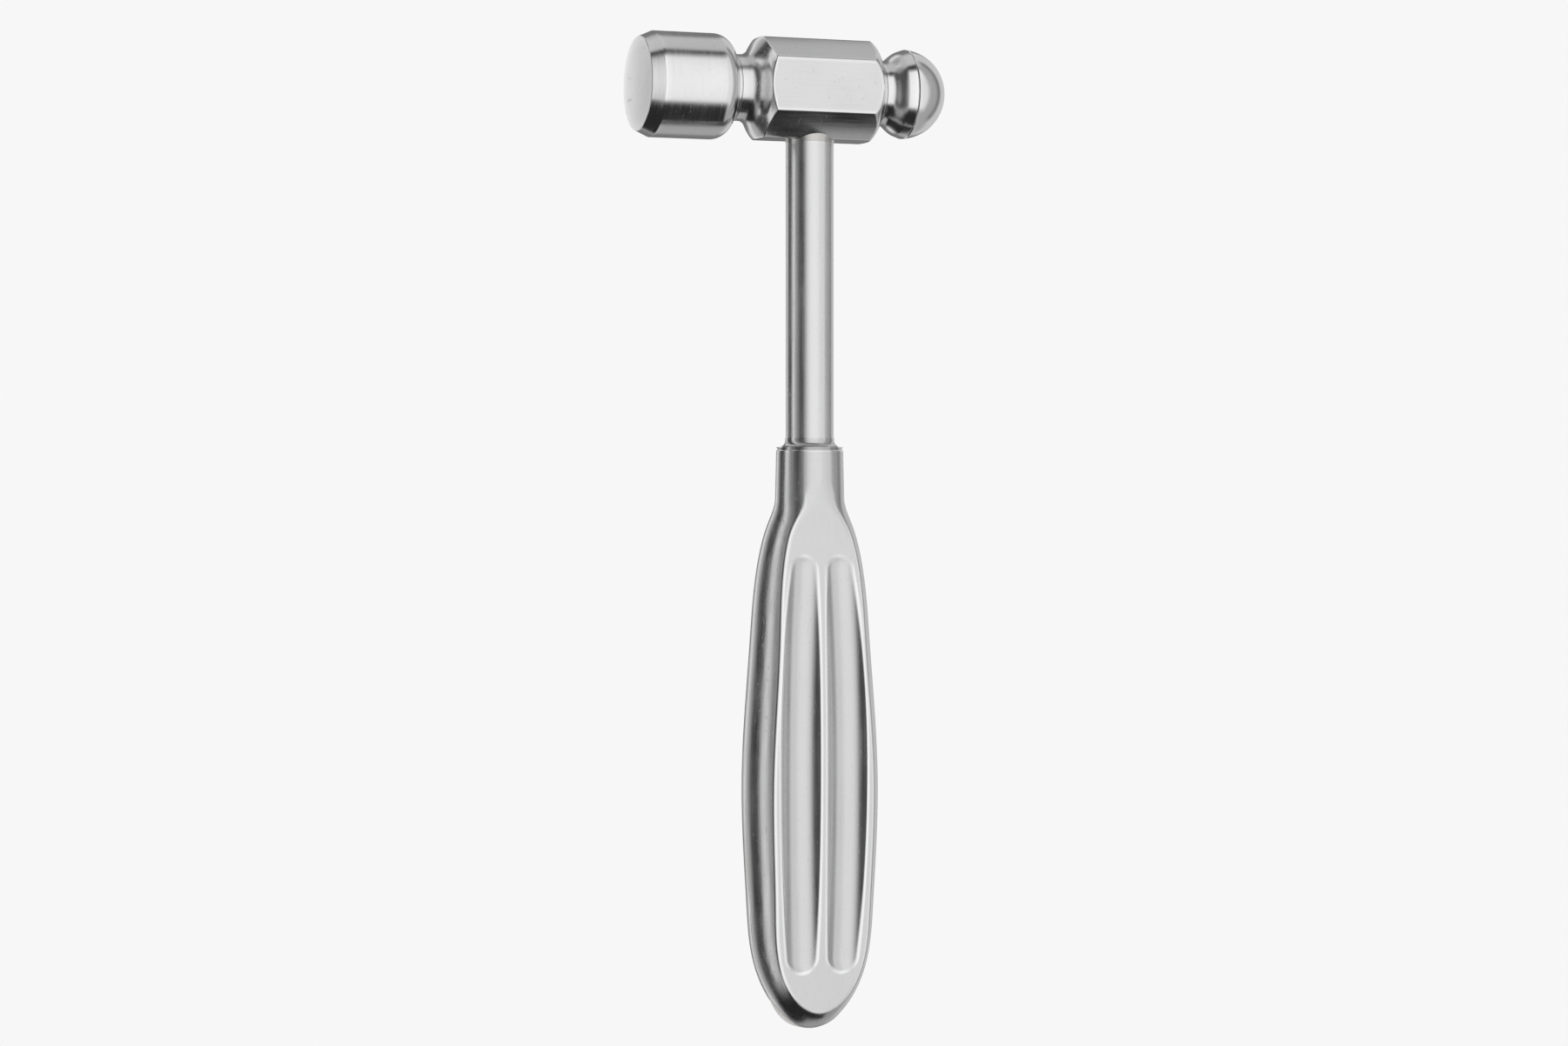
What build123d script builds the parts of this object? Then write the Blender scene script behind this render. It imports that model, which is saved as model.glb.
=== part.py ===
from build123d import *
import os
from math import sqrt

# All-metal percussion hammer: an octagonal head block with a flat-faced drum and a ball pein,
# a round shaft, and a hollow handle brazed together from two pressed and fluted halves.
# Millimetres. +Z runs up the handle towards the head, the head lies along X with the flat
# face at -X, and the origin is on the handle's axis, half way along the flutes.

# Head, measured along X from the shaft's axis
HEAD_Z = 129.0            # height of the head's axis
FACE_X = -34.6            # flat striking face
FACE_R = 8.85             # flat part of the face
FACE_EDGE = 2.7           # length of the eased edge behind the face
DRUM_R = 10.0
DRUM_SHOULDER_R = 3.7     # rounded back edge of the drum
DRUM_BACK_X = -16.4       # where that edge meets the neck
LEFT_NECK_R = 6.3
LEFT_JOINT_X = -15.7      # drum and block butt together here
RIGHT_NECK_R = 6.1
RIGHT_JOINT_X = 13.7      # block and ball butt together here
JOINT_BEVEL = 0.15        # fine turned line round each butt joint

BLOCK_HALF = 9.6          # half of the distance across the flats
BLOCK_TOP_HALF = 3.3      # half width of the top and bottom facets
BLOCK_SIDE_HALF = 5.05    # half width of the front and rear facets
BLOCK_EDGE_R = 0.7        # softened edges between the facets
BLOCK_CLEAR_R = 11.4      # outside every corner of the octagon

BALL_R = 8.55
BALL_APEX_X = 27.15
CREASE_X = 19.25          # turned line where the dome starts
CREASE_DEPTH = 0.2
CREASE_HALF = 0.18

# Joints inside the head
DRUM_SPIGOT_R = 4.0
BALL_SPIGOT_R = 3.5
SPIGOT_END_X = 7.8
END_GAP = 0.3             # air at the blind end of a hole
FIT_GAP = 0.02            # radial clearance of a screwed or brazed fit

# Shaft
SHAFT_R = 4.57
SHAFT_SEAT_Z = HEAD_Z - BLOCK_HALF + 1.2    # shoulder, let into the block
TENON_R = 3.2
TENON_TOP_Z = 132.0
PIN_R = 1.25
PIN_Z = 126.0
PIN_BLIND_Y = -5.0
PIN_PROUD = 0.05          # dressed almost flush with the rear facet
TANG_R = 3.0
TANG_END_Z = 45.0
TANG_TIP = 0.6            # chamfer on the tang's end
BRAZE_LOW = 0.5           # how far the head's bead of braze runs down the shaft
BRAZE_SPREAD = 0.25       # how fast it widens upwards

# Neck ferrule
NECK_TOP_Z = 60.5         # end of the handle's neck
NECK_R = 6.4
COVE_TOP_Z = 62.6
COVE_LIP = 0.15
COVE_SAG = 0.55           # hollow of the cove, from its chord
FERRULE_SEAT_Z = 59.6     # shaft's lower shoulder
FERRULE_END_Z = 53.0

# Handle
WALL = 1.2
BUTT_Z = -50.0
OUTLINE = [               # radius and height down the turned outline, neck to butt
    (6.6, 50.8),
    (8.1, 46.1),
    (9.55, 41.0),
    (11.5, 23.3),
    (13.0, -3.0),
    (12.1, -26.6),
    (8.5, -43.3),
]
SEAM = 0.2                # thickness of the filler between the halves
FACE_HALF = 8.2           # half thickness across the flattened faces at mid-handle
FACE_BARREL = 500.0       # radius of the faces' lengthwise curve
FACE_TOP_Z = 43.0         # above here the faces run out into the neck
FACE_RUNOUT = [(6.2, 48.0), (6.75, 54.0)]
FACE_CLEAR_Y = 16.0

# Flutes, two on each face
FLUTE_R = 5.2
FLUTE_MID = (4.7, 1.85, 0.0)      # distance from the middle, depth, and height, at mid-handle
FLUTE_TOP = (3.6, 0.65, 37.8)     # the same at the centre of the rounded upper end
FLUTE_BUTT = (4.1, 0.95, -36.0)   # and at the lower end

# Tang hardware
WASHER_R = 4.6
WASHER_T = 1.0
NUT_FLATS = 8.0
NUT_H = 4.0

HEAD_AXIS = Axis((0, 0, HEAD_Z), (1, 0, 0))
HEAD_PLANE = Plane(origin=(0, 0, HEAD_Z), x_dir=(1, 0, 0), z_dir=(0, -1, 0))
UPRIGHT = Plane.XZ


def turned(edges, plane, axis):
    """A solid turned about an axis from the edges of its half outline."""
    outline = make_face(Wire(edges))
    return revolve(plane * outline, axis)


def open_path(points):
    """Straight edges from point to point."""
    return [Line(a, b) for a, b in zip(points, points[1:])]


def rod(radius, start_z, end_z, x=0.0, y=0.0):
    """An upright round rod between two heights."""
    return Pos(x, y, (start_z + end_z) / 2) * Cylinder(radius, abs(end_z - start_z))


def rod_x(radius, start_x, end_x):
    """A round rod on the head's axis."""
    mid = (start_x + end_x) / 2
    return Pos(mid, 0, HEAD_Z) * Rot(0, 90, 0) * Cylinder(radius, abs(end_x - start_x))


def striking_drum():
    """Flat face, eased edge, cylinder, rounded back and the spigot that screws into the block."""
    edge_x = FACE_X + FACE_EDGE
    edge_mid = (FACE_X + 0.46 * FACE_EDGE, FACE_R + 0.56 * (DRUM_R - FACE_R))
    shoulder_x = DRUM_BACK_X - DRUM_SHOULDER_R
    shoulder_r = DRUM_R - DRUM_SHOULDER_R
    diagonal = DRUM_SHOULDER_R / sqrt(2)
    spigot_end = -SPIGOT_END_X
    edges = open_path([(FACE_X, 0), (FACE_X, FACE_R)])
    edges += [ThreePointArc((FACE_X, FACE_R), edge_mid, (edge_x, DRUM_R))]
    edges += open_path([(edge_x, DRUM_R), (shoulder_x, DRUM_R)])
    edges += [ThreePointArc((shoulder_x, DRUM_R),
                            (shoulder_x + diagonal, shoulder_r + diagonal),
                            (DRUM_BACK_X, shoulder_r))]
    edges += open_path([
        (DRUM_BACK_X, shoulder_r),
        (LEFT_JOINT_X - JOINT_BEVEL, LEFT_NECK_R),
        (LEFT_JOINT_X, LEFT_NECK_R - JOINT_BEVEL),
        (LEFT_JOINT_X, DRUM_SPIGOT_R),
        (spigot_end, DRUM_SPIGOT_R),
        (spigot_end, 0),
        (FACE_X, 0),
    ])
    return turned(edges, HEAD_PLANE, HEAD_AXIS)


def block_envelope():
    """The turned outline that the octagon's ends run down to."""
    left = [
        (LEFT_JOINT_X, 0),
        (LEFT_JOINT_X, LEFT_NECK_R - JOINT_BEVEL),
        (LEFT_JOINT_X + JOINT_BEVEL, LEFT_NECK_R),
        (-14.3, LEFT_NECK_R),
    ]
    right = [
        (12.75, 6.6),
        (13.1, RIGHT_NECK_R),
        (RIGHT_JOINT_X - JOINT_BEVEL, RIGHT_NECK_R),
        (RIGHT_JOINT_X, RIGHT_NECK_R - JOINT_BEVEL),
        (RIGHT_JOINT_X, 0),
        (LEFT_JOINT_X, 0),
    ]
    edges = open_path(left)
    edges += [Spline(left[-1], (-12.1, 7.6), (-10.8, 9.6), tangents=[(1, 0), (0.75, 1)])]
    edges += open_path([(-10.8, 9.6), (-9.4, BLOCK_CLEAR_R), (9.3, BLOCK_CLEAR_R), (9.6, 10.9)])
    edges += [ThreePointArc((9.6, 10.9), (11.75, 9.45), (12.75, 7.2))]
    edges += open_path([(12.75, 7.2)] + right)
    return turned(edges, HEAD_PLANE, HEAD_AXIS)


def octagon_prism():
    """The octagonal bar that the block is cut from."""
    corners = []
    for sign in (1, -1):
        corners += [
            (sign * BLOCK_HALF, -sign * BLOCK_SIDE_HALF),
            (sign * BLOCK_HALF, sign * BLOCK_SIDE_HALF),
            (sign * BLOCK_TOP_HALF, sign * BLOCK_HALF),
            (-sign * BLOCK_TOP_HALF, sign * BLOCK_HALF),
        ]
    outline = make_face(Polyline(*corners, close=True))
    outline = fillet(outline.vertices(), BLOCK_EDGE_R)
    length = RIGHT_JOINT_X - LEFT_JOINT_X + 2
    section = Plane(origin=(LEFT_JOINT_X - 1, 0, HEAD_Z), x_dir=(0, 1, 0), z_dir=(1, 0, 0))
    return extrude(section * outline, length)


def cross_pin(radius, start_y, end_y):
    """A round pin across the head, through the tenon."""
    mid = (start_y + end_y) / 2
    return Pos(0, mid, PIN_Z) * Rot(90, 0, 0) * Cylinder(radius, abs(end_y - start_y))


def head_body():
    """Octagonal block with its two spigot holes, the shaft's socket and the pin hole."""
    block = block_envelope() & octagon_prism()
    hole_end = SPIGOT_END_X - END_GAP
    block -= rod_x(DRUM_SPIGOT_R + FIT_GAP, LEFT_JOINT_X - 1, -hole_end)
    block -= rod_x(BALL_SPIGOT_R + FIT_GAP, hole_end, RIGHT_JOINT_X + 1)
    block -= rod(SHAFT_R + FIT_GAP, SHAFT_SEAT_Z - 5, SHAFT_SEAT_Z)
    block -= rod(TENON_R + FIT_GAP, SHAFT_SEAT_Z - 1, TENON_TOP_Z + END_GAP)
    block -= cross_pin(PIN_R + FIT_GAP, PIN_BLIND_Y - END_GAP, BLOCK_HALF + 1)
    return block


def head_pin():
    """Dowel driven from the rear facet and dressed almost flush with it."""
    return cross_pin(PIN_R, PIN_BLIND_Y, BLOCK_HALF + PIN_PROUD)


def ball_pein():
    """Flared neck, conical land, turned crease and dome, with the spigot that screws in."""
    centre_x = BALL_APEX_X - BALL_R
    start_x = CREASE_X + CREASE_HALF
    start_r = sqrt(BALL_R**2 - (start_x - centre_x) ** 2)
    dome_mid = centre_x + BALL_R / sqrt(2)
    land_r = start_r + 0.05
    edges = open_path([
        (SPIGOT_END_X, 0),
        (SPIGOT_END_X, BALL_SPIGOT_R),
        (RIGHT_JOINT_X, BALL_SPIGOT_R),
        (RIGHT_JOINT_X, RIGHT_NECK_R - JOINT_BEVEL),
        (RIGHT_JOINT_X + JOINT_BEVEL, RIGHT_NECK_R),
        (14.3, RIGHT_NECK_R),
    ])
    edges += [Spline((14.3, RIGHT_NECK_R), (16.2, 7.1), (17.6, 8.05), tangents=[(1, 0), (1, 0.45)])]
    edges += open_path([
        (17.6, 8.05),
        (CREASE_X - CREASE_HALF, land_r),
        (CREASE_X, land_r - CREASE_DEPTH),
        (start_x, start_r),
    ])
    edges += [ThreePointArc((start_x, start_r), (dome_mid, BALL_R / sqrt(2)), (BALL_APEX_X, 0))]
    edges += open_path([(BALL_APEX_X, 0), (SPIGOT_END_X, 0)])
    return turned(edges, HEAD_PLANE, HEAD_AXIS)


def shaft():
    """Round rod with a tenon in the head above and a tang in the handle below."""
    edges = open_path([
        (0, TANG_END_Z),
        (TANG_R - TANG_TIP, TANG_END_Z),
        (TANG_R, TANG_END_Z + TANG_TIP),
        (TANG_R, FERRULE_SEAT_Z),
        (SHAFT_R, FERRULE_SEAT_Z),
        (SHAFT_R, SHAFT_SEAT_Z),
        (TENON_R, SHAFT_SEAT_Z),
        (TENON_R, TENON_TOP_Z),
        (0, TENON_TOP_Z),
        (0, TANG_END_Z),
    ])
    return turned(edges, UPRIGHT, Axis.Z) - cross_pin(PIN_R + FIT_GAP, PIN_BLIND_Y, BLOCK_HALF)


def head_braze_ring(block):
    """Bead of braze round the shaft, run up against the block's underside."""
    low_z = HEAD_Z - BLOCK_HALF - BRAZE_LOW
    high_z = SHAFT_SEAT_Z
    high_r = SHAFT_R + FIT_GAP + BRAZE_SPREAD * (high_z - low_z)
    edges = open_path([
        (SHAFT_R, low_z),
        (high_r, high_z),
        (SHAFT_R, high_z),
        (SHAFT_R, low_z),
    ])
    return turned(edges, UPRIGHT, Axis.Z) - block - rod(SHAFT_R + FIT_GAP, SHAFT_SEAT_Z - 1, high_z + 1)


def neck_ferrule():
    """Turned plug in the handle's neck, with a cove that sweeps in to the shaft."""
    lip_r = SHAFT_R + COVE_LIP
    plug_r = NECK_R - WALL - FIT_GAP
    bore_r = TANG_R + FIT_GAP
    seat_r = SHAFT_R + FIT_GAP
    chord_mid = ((lip_r + NECK_R) / 2 - COVE_SAG / sqrt(2), (COVE_TOP_Z + NECK_TOP_Z) / 2 - COVE_SAG / sqrt(2))
    edges = [ThreePointArc((lip_r, COVE_TOP_Z), chord_mid, (NECK_R, NECK_TOP_Z))]
    edges += open_path([
        (NECK_R, NECK_TOP_Z),
        (plug_r, NECK_TOP_Z),
        (plug_r, FERRULE_END_Z),
        (bore_r, FERRULE_END_Z),
        (bore_r, FERRULE_SEAT_Z),
        (seat_r, FERRULE_SEAT_Z),
        (seat_r, COVE_TOP_Z),
        (lip_r, COVE_TOP_Z),
    ])
    return turned(edges, UPRIGHT, Axis.Z)


def tang_washer():
    """Plain washer between the nut and the ferrule."""
    ring = rod(WASHER_R, FERRULE_END_Z - WASHER_T, FERRULE_END_Z)
    return ring - rod(TANG_R + FIT_GAP, FERRULE_END_Z - 2 * WASHER_T, FERRULE_END_Z + 1)


def tang_nut():
    """Hexagon nut on the tang, with its corners turned off."""
    top_z = FERRULE_END_Z - WASHER_T
    hexagon = RegularPolygon(NUT_FLATS / 2, 6, major_radius=False)
    nut = Pos(0, 0, top_z - NUT_H) * extrude(hexagon, NUT_H)
    return nut - rod(TANG_R + FIT_GAP, top_z - NUT_H - 1, top_z + 1)


def spindle(inset):
    """The handle's turned form, shrunk by an inset all round."""
    points = [(radius - inset, height) for radius, height in OUTLINE]
    bottom = (0, BUTT_Z + inset)
    top_r = NECK_R - inset
    top_z = NECK_TOP_Z
    edges = open_path([(0, top_z), (top_r, top_z), points[0]])
    edges += [Spline(*points, bottom, tangents=[(0.1, -1), (-1, 0)])]
    edges += open_path([bottom, (0, top_z)])
    return turned(edges, UPRIGHT, Axis.Z)


def face_depth(height):
    """Half thickness across the flattened faces at a height."""
    return FACE_HALF - FACE_BARREL + sqrt(FACE_BARREL**2 - height**2)


def face_cutter(inset):
    """What is taken off the front: a barrelled face that runs out into the neck."""
    low_z = BUTT_Z - 2
    low = (face_depth(low_z) - inset, low_z)
    middle = (FACE_HALF - inset, 0)
    high = (face_depth(FACE_TOP_Z) - inset, FACE_TOP_Z)
    runout = [(depth - inset, height) for depth, height in FACE_RUNOUT]
    last = (FACE_CLEAR_Y, runout[-1][1])
    slope = -FACE_TOP_Z / FACE_BARREL
    edges = [ThreePointArc(low, middle, high)]
    edges += [Spline(high, *runout, tangents=[(slope, 1), (0.35, 1)])]
    edges += open_path([runout[-1], last, (FACE_CLEAR_Y, low_z), low])
    side = Plane(origin=(-FACE_CLEAR_Y, 0, 0), x_dir=(0, -1, 0), z_dir=(-1, 0, 0))
    return extrude(side * make_face(Wire(edges)), amount=-2 * FACE_CLEAR_Y)


def flute_cutter(side, inset):
    """A long bent rod with ball ends that sinks one flute into the front face."""
    radius = FLUTE_R + inset
    low, middle, high = [
        (side * x, -(face_depth(height) - depth + FLUTE_R), height)
        for x, depth, height in (FLUTE_BUTT, FLUTE_MID, FLUTE_TOP)
    ]
    path = ThreePointArc(low, middle, high)
    section = Plane(origin=low, z_dir=path % 0) * Circle(radius)
    cutter = sweep(section, path)
    for end in (low, high):
        cutter += Pos(*end) * Sphere(radius)
    return cutter


def fluted_form(inset):
    """The spindle with both faces flattened and all four flutes sunk in it."""
    form = spindle(inset)
    front = face_cutter(inset)
    form = form - front - mirror(front, Plane.XZ)
    for side in (-1, 1):
        flute = flute_cutter(side, inset)
        form = form - flute - mirror(flute, Plane.XZ)
    return form


def handle_wall():
    """The whole hollow handle, open at the neck."""
    return fluted_form(0) - fluted_form(WALL)


def slab(low_y, high_y):
    """A slab across the whole handle, used to split it along the seam."""
    size = 2 * FACE_CLEAR_Y
    height = NECK_TOP_Z - BUTT_Z + 4
    mid_z = (NECK_TOP_Z + BUTT_Z) / 2
    return Pos(0, (low_y + high_y) / 2, mid_z) * Box(size, high_y - low_y, height)


def write(name, solid):
    """One STEP file for each piece."""
    solid.label = name
    export_step(solid, f"parts/{name}.step")


def main():
    os.makedirs("parts", exist_ok=True)
    block = head_body()
    wall = handle_wall()
    pieces = {
        "striking_drum": striking_drum(),
        "head_body": block,
        "ball_pein": ball_pein(),
        "head_pin": head_pin(),
        "shaft": shaft(),
        "head_braze_ring": head_braze_ring(block),
        "neck_ferrule": neck_ferrule(),
        "tang_washer": tang_washer(),
        "tang_nut": tang_nut(),
        "handle_front_shell": wall & slab(-FACE_CLEAR_Y, -SEAM / 2),
        "handle_rear_shell": wall & slab(SEAM / 2, FACE_CLEAR_Y),
        "handle_seam_braze": wall & slab(-SEAM / 2, SEAM / 2),
    }
    for name, solid in pieces.items():
        write(name, solid)


main()
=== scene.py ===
from math import cos, pi, radians, sin, sqrt

import bmesh
import bpy
import numpy as np
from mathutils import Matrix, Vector


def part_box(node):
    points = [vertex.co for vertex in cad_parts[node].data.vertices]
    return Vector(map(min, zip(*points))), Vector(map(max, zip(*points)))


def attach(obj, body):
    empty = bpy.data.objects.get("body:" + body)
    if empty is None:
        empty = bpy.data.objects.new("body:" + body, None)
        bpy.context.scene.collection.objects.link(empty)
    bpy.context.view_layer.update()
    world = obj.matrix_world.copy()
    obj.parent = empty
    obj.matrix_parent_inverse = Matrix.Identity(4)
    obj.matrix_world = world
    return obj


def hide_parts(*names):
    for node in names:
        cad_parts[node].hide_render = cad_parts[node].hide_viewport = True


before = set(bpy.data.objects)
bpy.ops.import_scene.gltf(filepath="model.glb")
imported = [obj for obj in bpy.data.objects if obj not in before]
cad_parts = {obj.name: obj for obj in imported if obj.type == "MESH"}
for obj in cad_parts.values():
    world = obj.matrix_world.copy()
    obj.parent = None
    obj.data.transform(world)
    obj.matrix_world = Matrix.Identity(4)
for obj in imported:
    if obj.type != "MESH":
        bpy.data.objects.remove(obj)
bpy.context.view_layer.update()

# An all-metal percussion hammer. Every visible piece is rebuilt here as a dense, smooth mesh in
# the place of its CAD node, with real rounded edges, because polished metal shows every facet.
# Lengths are in millimetres, and become metres when a mesh is made.
MM = 0.001


def mm_box(node):
    """A CAD node's lowest and highest corners, in millimetres."""
    low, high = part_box(node)
    return low / MM, high / MM


drum_low, drum_high = mm_box("striking_drum")
block_low, block_high = mm_box("head_body")
ball_low, ball_high = mm_box("ball_pein")
shaft_low, shaft_high = mm_box("shaft")
ferrule_low, ferrule_high = mm_box("neck_ferrule")
front_low, front_high = mm_box("handle_front_shell")

# Head: along X is the distance from the shaft's axis
HEAD_Z = (drum_low.z + drum_high.z) / 2
FACE_X = drum_low.x
FACE_R = 8.85
FACE_EDGE = 2.7
FACE_CROWN = 0.14         # the striking face is ground very slightly domed
DRUM_R = (drum_high.y - drum_low.y) / 2
DRUM_BACK_X = -16.4
DRUM_SHOULDER_R = 3.7
LEFT_NECK_R = 6.3
LEFT_JOINT_X = block_low.x
RIGHT_NECK_R = 6.1
RIGHT_JOINT_X = block_high.x
JOINT_BEVEL = 0.15
BLOCK_HALF = (block_high.y - block_low.y) / 2
BLOCK_TOP_HALF = 3.3
BLOCK_SIDE_HALF = 5.05
FACET_CROWN = 0.22        # how far hand polishing has left the oblique facets proud in the middle
CROWN_REACH = 1.3         # the crown's curve goes on past a facet's edges, in half widths
FACET_BLEND = 0.35
# The turned ends that the octagon runs down to, as distances along the head and radii
LEFT_FLARE = [(-14.3, LEFT_NECK_R), (-12.1, 7.6), (-10.8, 9.6)]
LEFT_CHAMFER_END = (-9.4, 11.4)
OUTSIDE_OCTAGON = [(-9.0, 12.0), (9.0, 12.0)]
RIGHT_SHOULDER = [(9.6, 10.9), (11.75, 9.45), (12.75, 7.2)]
RIGHT_SHOULDER_TOP = (9.35, 11.1)
RIGHT_STEP = [(12.75, 6.6), (13.1, RIGHT_NECK_R)]
TURNED_BLEND = 0.12       # rounding where the octagon's facets meet those ends
BALL_R = (ball_high.z - ball_low.z) / 2
BALL_APEX_X = ball_high.x
BALL_FLARE = [(14.3, RIGHT_NECK_R), (16.2, 7.1), (17.6, 8.05)]
LAND_RISE = 0.05          # the land beside the crease stands this far above the ball
CREASE_X = 19.25
CREASE_DEPTH = 0.2
CREASE_HALF = 0.18
DRUM_SPIGOT_R = 4.0
BALL_SPIGOT_R = 3.5
SPIGOT_END_X = ball_low.x

# Shaft and ferrule
SHAFT_R = shaft_high.y
SHAFT_SEAT_Z = HEAD_Z - BLOCK_HALF + 1.2
TENON_R = 3.2
TANG_R = 3.0
TANG_TIP = 0.6            # bevel at the tang's end
FERRULE_SEAT_Z = 59.6
COVE_LIP = 0.15
COVE_SAG = 0.55
NECK_R = ferrule_high.x
NECK_TOP_Z = front_high.z
NECK_BEVEL = 0.34         # broken edges either side of the joint between ferrule and neck
PLUG_GAP = 0.02           # between the ferrule's plug and the handle's wall

# Handle
WALL = 1.2
BUTT_Z = front_low.z
# The turned outline below the neck, as radius and height
OUTLINE = [
    (6.6, 50.8),
    (8.1, 46.1),
    (9.55, 41.0),
    (11.5, 23.3),
    (13.0, -3.0),
    (12.1, -26.6),
    (8.5, -43.3),
]
FACE_HALF = -front_low.y
FACE_BARREL = 500.0       # radius of the faces' slight curve along the handle
FACE_TOP_Z = 43.0
FACE_RUNOUT = [(6.2, 48.0), (6.75, 54.0)]     # above it the faces run out to the neck
FACE_RUNOUT_SLOPE = 0.35
FLUTE_R = 5.2
FLUTE_MID = (4.7, 1.85, 0.0)      # distance from the middle, depth, and height, at mid-handle
FLUTE_TOP = (3.6, 0.65, 37.8)     # the same at the centre of the rounded upper end
FLUTE_BUTT = (4.1, 0.95, -36.0)   # and at the lower end
SEAM_HALF = -front_high.y
FACE_BLEND = 0.55         # how widely the edges of the faces are rounded over
FLUTE_BLEND = 0.26        # and the edges of the flutes

# Rounding of the edges that a turning tool leaves
BROAD_EDGE = 0.12
SHAFT_EDGE = 0.08
FINE_EDGE = 0.05

# Mesh density
TURNS = 256               # segments round a turned piece
LONGEST_STEP = 1.0        # along a turned outline, so that wear stays close to the edges
BLOCK_FLARE_STEP = 0.12
BALL_FLARE_STEP = 0.15
CHAMFER_ROWS = 16
FACET_ROWS = 12
FACET_STEP = radians(3)
BESIDE_EDGE = [0.35, 0.7, 1.1, 1.6, 2.2, 3, 4]    # degrees from each of the octagon's edges
HANDLE_ROWS = 301         # rows down the handle, one more than a multiple of INNER_SKIP
FINE_ROWS = 3.0           # how much closer the rows are round the ends of the flutes
FINE_REACH = 3.5          # and how far from those ends they stay close
NECK_ROWS = 60            # points on the outline that those rows are taken from
HANDLE_STEP = 0.1
FACE_RUNOUT_STEP = 0.2
FACE_COLUMNS = 144        # columns across a flattened face
SIDE_COLUMNS = 36         # and round each side, to the seam
INNER_SKIP = 4            # the hidden inner wall has this many times fewer rows and columns
SAME_POINT = 1e-8         # points closer than this, in metres, are one
SHARP_ANGLE = radians(30)
EDGE_COSINES = (0.3, 0.9) # limits, as cosines, of the direction where a face's columns end
SIDEWAYS = 0.02           # the smallest cosine used for the distance to a face's plane
NO_FLUTE = -99.0          # the flutes' y where there is no flute, out of the way
TINY = 1e-6               # keeps a division by nothing from failing

# Marks from how sharply the surface bends, in radians for each millimetre: outer edges get wear
# and a painted highlight, grooves get grime and painted shade
EDGE_BEND = (0.3, 1.1)
GROOVE_BEND = (0.6, 2.5)
SHARPEST_BEND = 9.0
MARK_SPREAD = 3           # how many times the marks are spread to the points around
MARK_PASSED = 0.6         # how much of it comes from those points each time
MARK_GAIN = 1.6


# ---------------------------------------------------------------- outlines

def smooth_min(a, b, blend):
    """The smaller of two values, with the corner where they cross rounded over."""
    gap = np.maximum(blend - np.abs(a - b), 0)
    return np.minimum(a, b) - gap**2 / (4 * blend)


def smooth_max(a, b, blend):
    return -smooth_min(-a, -b, blend)


def arc(start, middle, end, step=radians(4)):
    """Points on the arc through three points."""
    (ax, ay), (bx, by), (cx, cy) = start, middle, end
    twice_area = 2 * (ax * (by - cy) + bx * (cy - ay) + cx * (ay - by))
    sa, sb, sc = ax * ax + ay * ay, bx * bx + by * by, cx * cx + cy * cy
    centre_x = (sa * (by - cy) + sb * (cy - ay) + sc * (ay - by)) / twice_area
    centre_y = (sa * (cx - bx) + sb * (ax - cx) + sc * (bx - ax)) / twice_area
    radius = sqrt((ax - centre_x) ** 2 + (ay - centre_y) ** 2)
    first = np.arctan2(ay - centre_y, ax - centre_x)
    turn = np.arctan2(cy - centre_y, cx - centre_x) - first
    last = first + np.angle(np.exp(1j * turn))
    count = max(3, int(abs(last - first) / step) + 1)
    angles = np.linspace(first, last, count)
    return np.stack([centre_x + radius * np.cos(angles), centre_y + radius * np.sin(angles)], 1)


def spline(points, start, end, step):
    """Points on the smooth curve through some points, with a direction at each end."""
    p = np.array(points, float)
    chords = np.linalg.norm(np.diff(p, axis=0), axis=1)
    n = len(p)
    system = np.eye(n)
    slopes = np.zeros((n, 2))
    slopes[0] = np.array(start) / np.linalg.norm(start)
    slopes[-1] = np.array(end) / np.linalg.norm(end)
    for i in range(1, n - 1):
        before, after = chords[i - 1], chords[i]
        system[i, i - 1 : i + 2] = after, 2 * (before + after), before
        slopes[i] = 3 * (after * (p[i] - p[i - 1]) / before + before * (p[i + 1] - p[i]) / after)
    slopes = np.linalg.solve(system, slopes)
    made = []
    for i, chord in enumerate(chords):
        t = np.linspace(0, 1, max(3, int(chord / step) + 1), endpoint=i == n - 2)[:, None]
        a = (1 + 2 * t) * (1 - t) ** 2 * p[i] + t * (1 - t) ** 2 * chord * slopes[i]
        b = t * t * (3 - 2 * t) * p[i + 1] - t * t * (1 - t) * chord * slopes[i + 1]
        made.append(a + b)
    return np.concatenate(made)


def eased(corners, radius):
    """A straight-sided outline with rounded corners, and a point close on each side of each."""
    p = [np.array(corner, float) for corner in corners]
    made = [p[0]]
    for before, corner, after in zip(p, p[1:], p[2:]):
        back, ahead = before - corner, after - corner
        back_length, ahead_length = np.linalg.norm(back), np.linalg.norm(ahead)
        reach = min(radius, 0.3 * back_length, 0.3 * ahead_length)
        a = corner + back / back_length * reach
        b = corner + ahead / ahead_length * reach
        made.append(corner + (a - corner) * 1.5)
        for t in (0, 0.25, 0.5, 0.75, 1):
            made.append((1 - t) ** 2 * a + 2 * t * (1 - t) * corner + t * t * b)
        made.append(corner + (b - corner) * 1.5)
    return np.array(made + [p[-1]])


def joined(*runs):
    """Several runs of points as one, without doubled points."""
    doubled = 1e-4
    points = np.concatenate([np.array(run, float).reshape(-1, 2) for run in runs])
    keep = [0]
    for i in range(1, len(points)):
        if np.linalg.norm(points[i] - points[keep[-1]]) > doubled:
            keep.append(i)
    return points[keep]


def stepped(outline):
    """An outline with points added along its long straight runs."""
    made = [outline[:1]]
    for start, end in zip(outline, outline[1:]):
        count = max(1, round(np.linalg.norm(end - start) / LONGEST_STEP))
        made.append(start + (end - start) * np.arange(1, count + 1)[:, None] / count)
    return np.concatenate(made)


# ---------------------------------------------------------------- meshes

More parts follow.
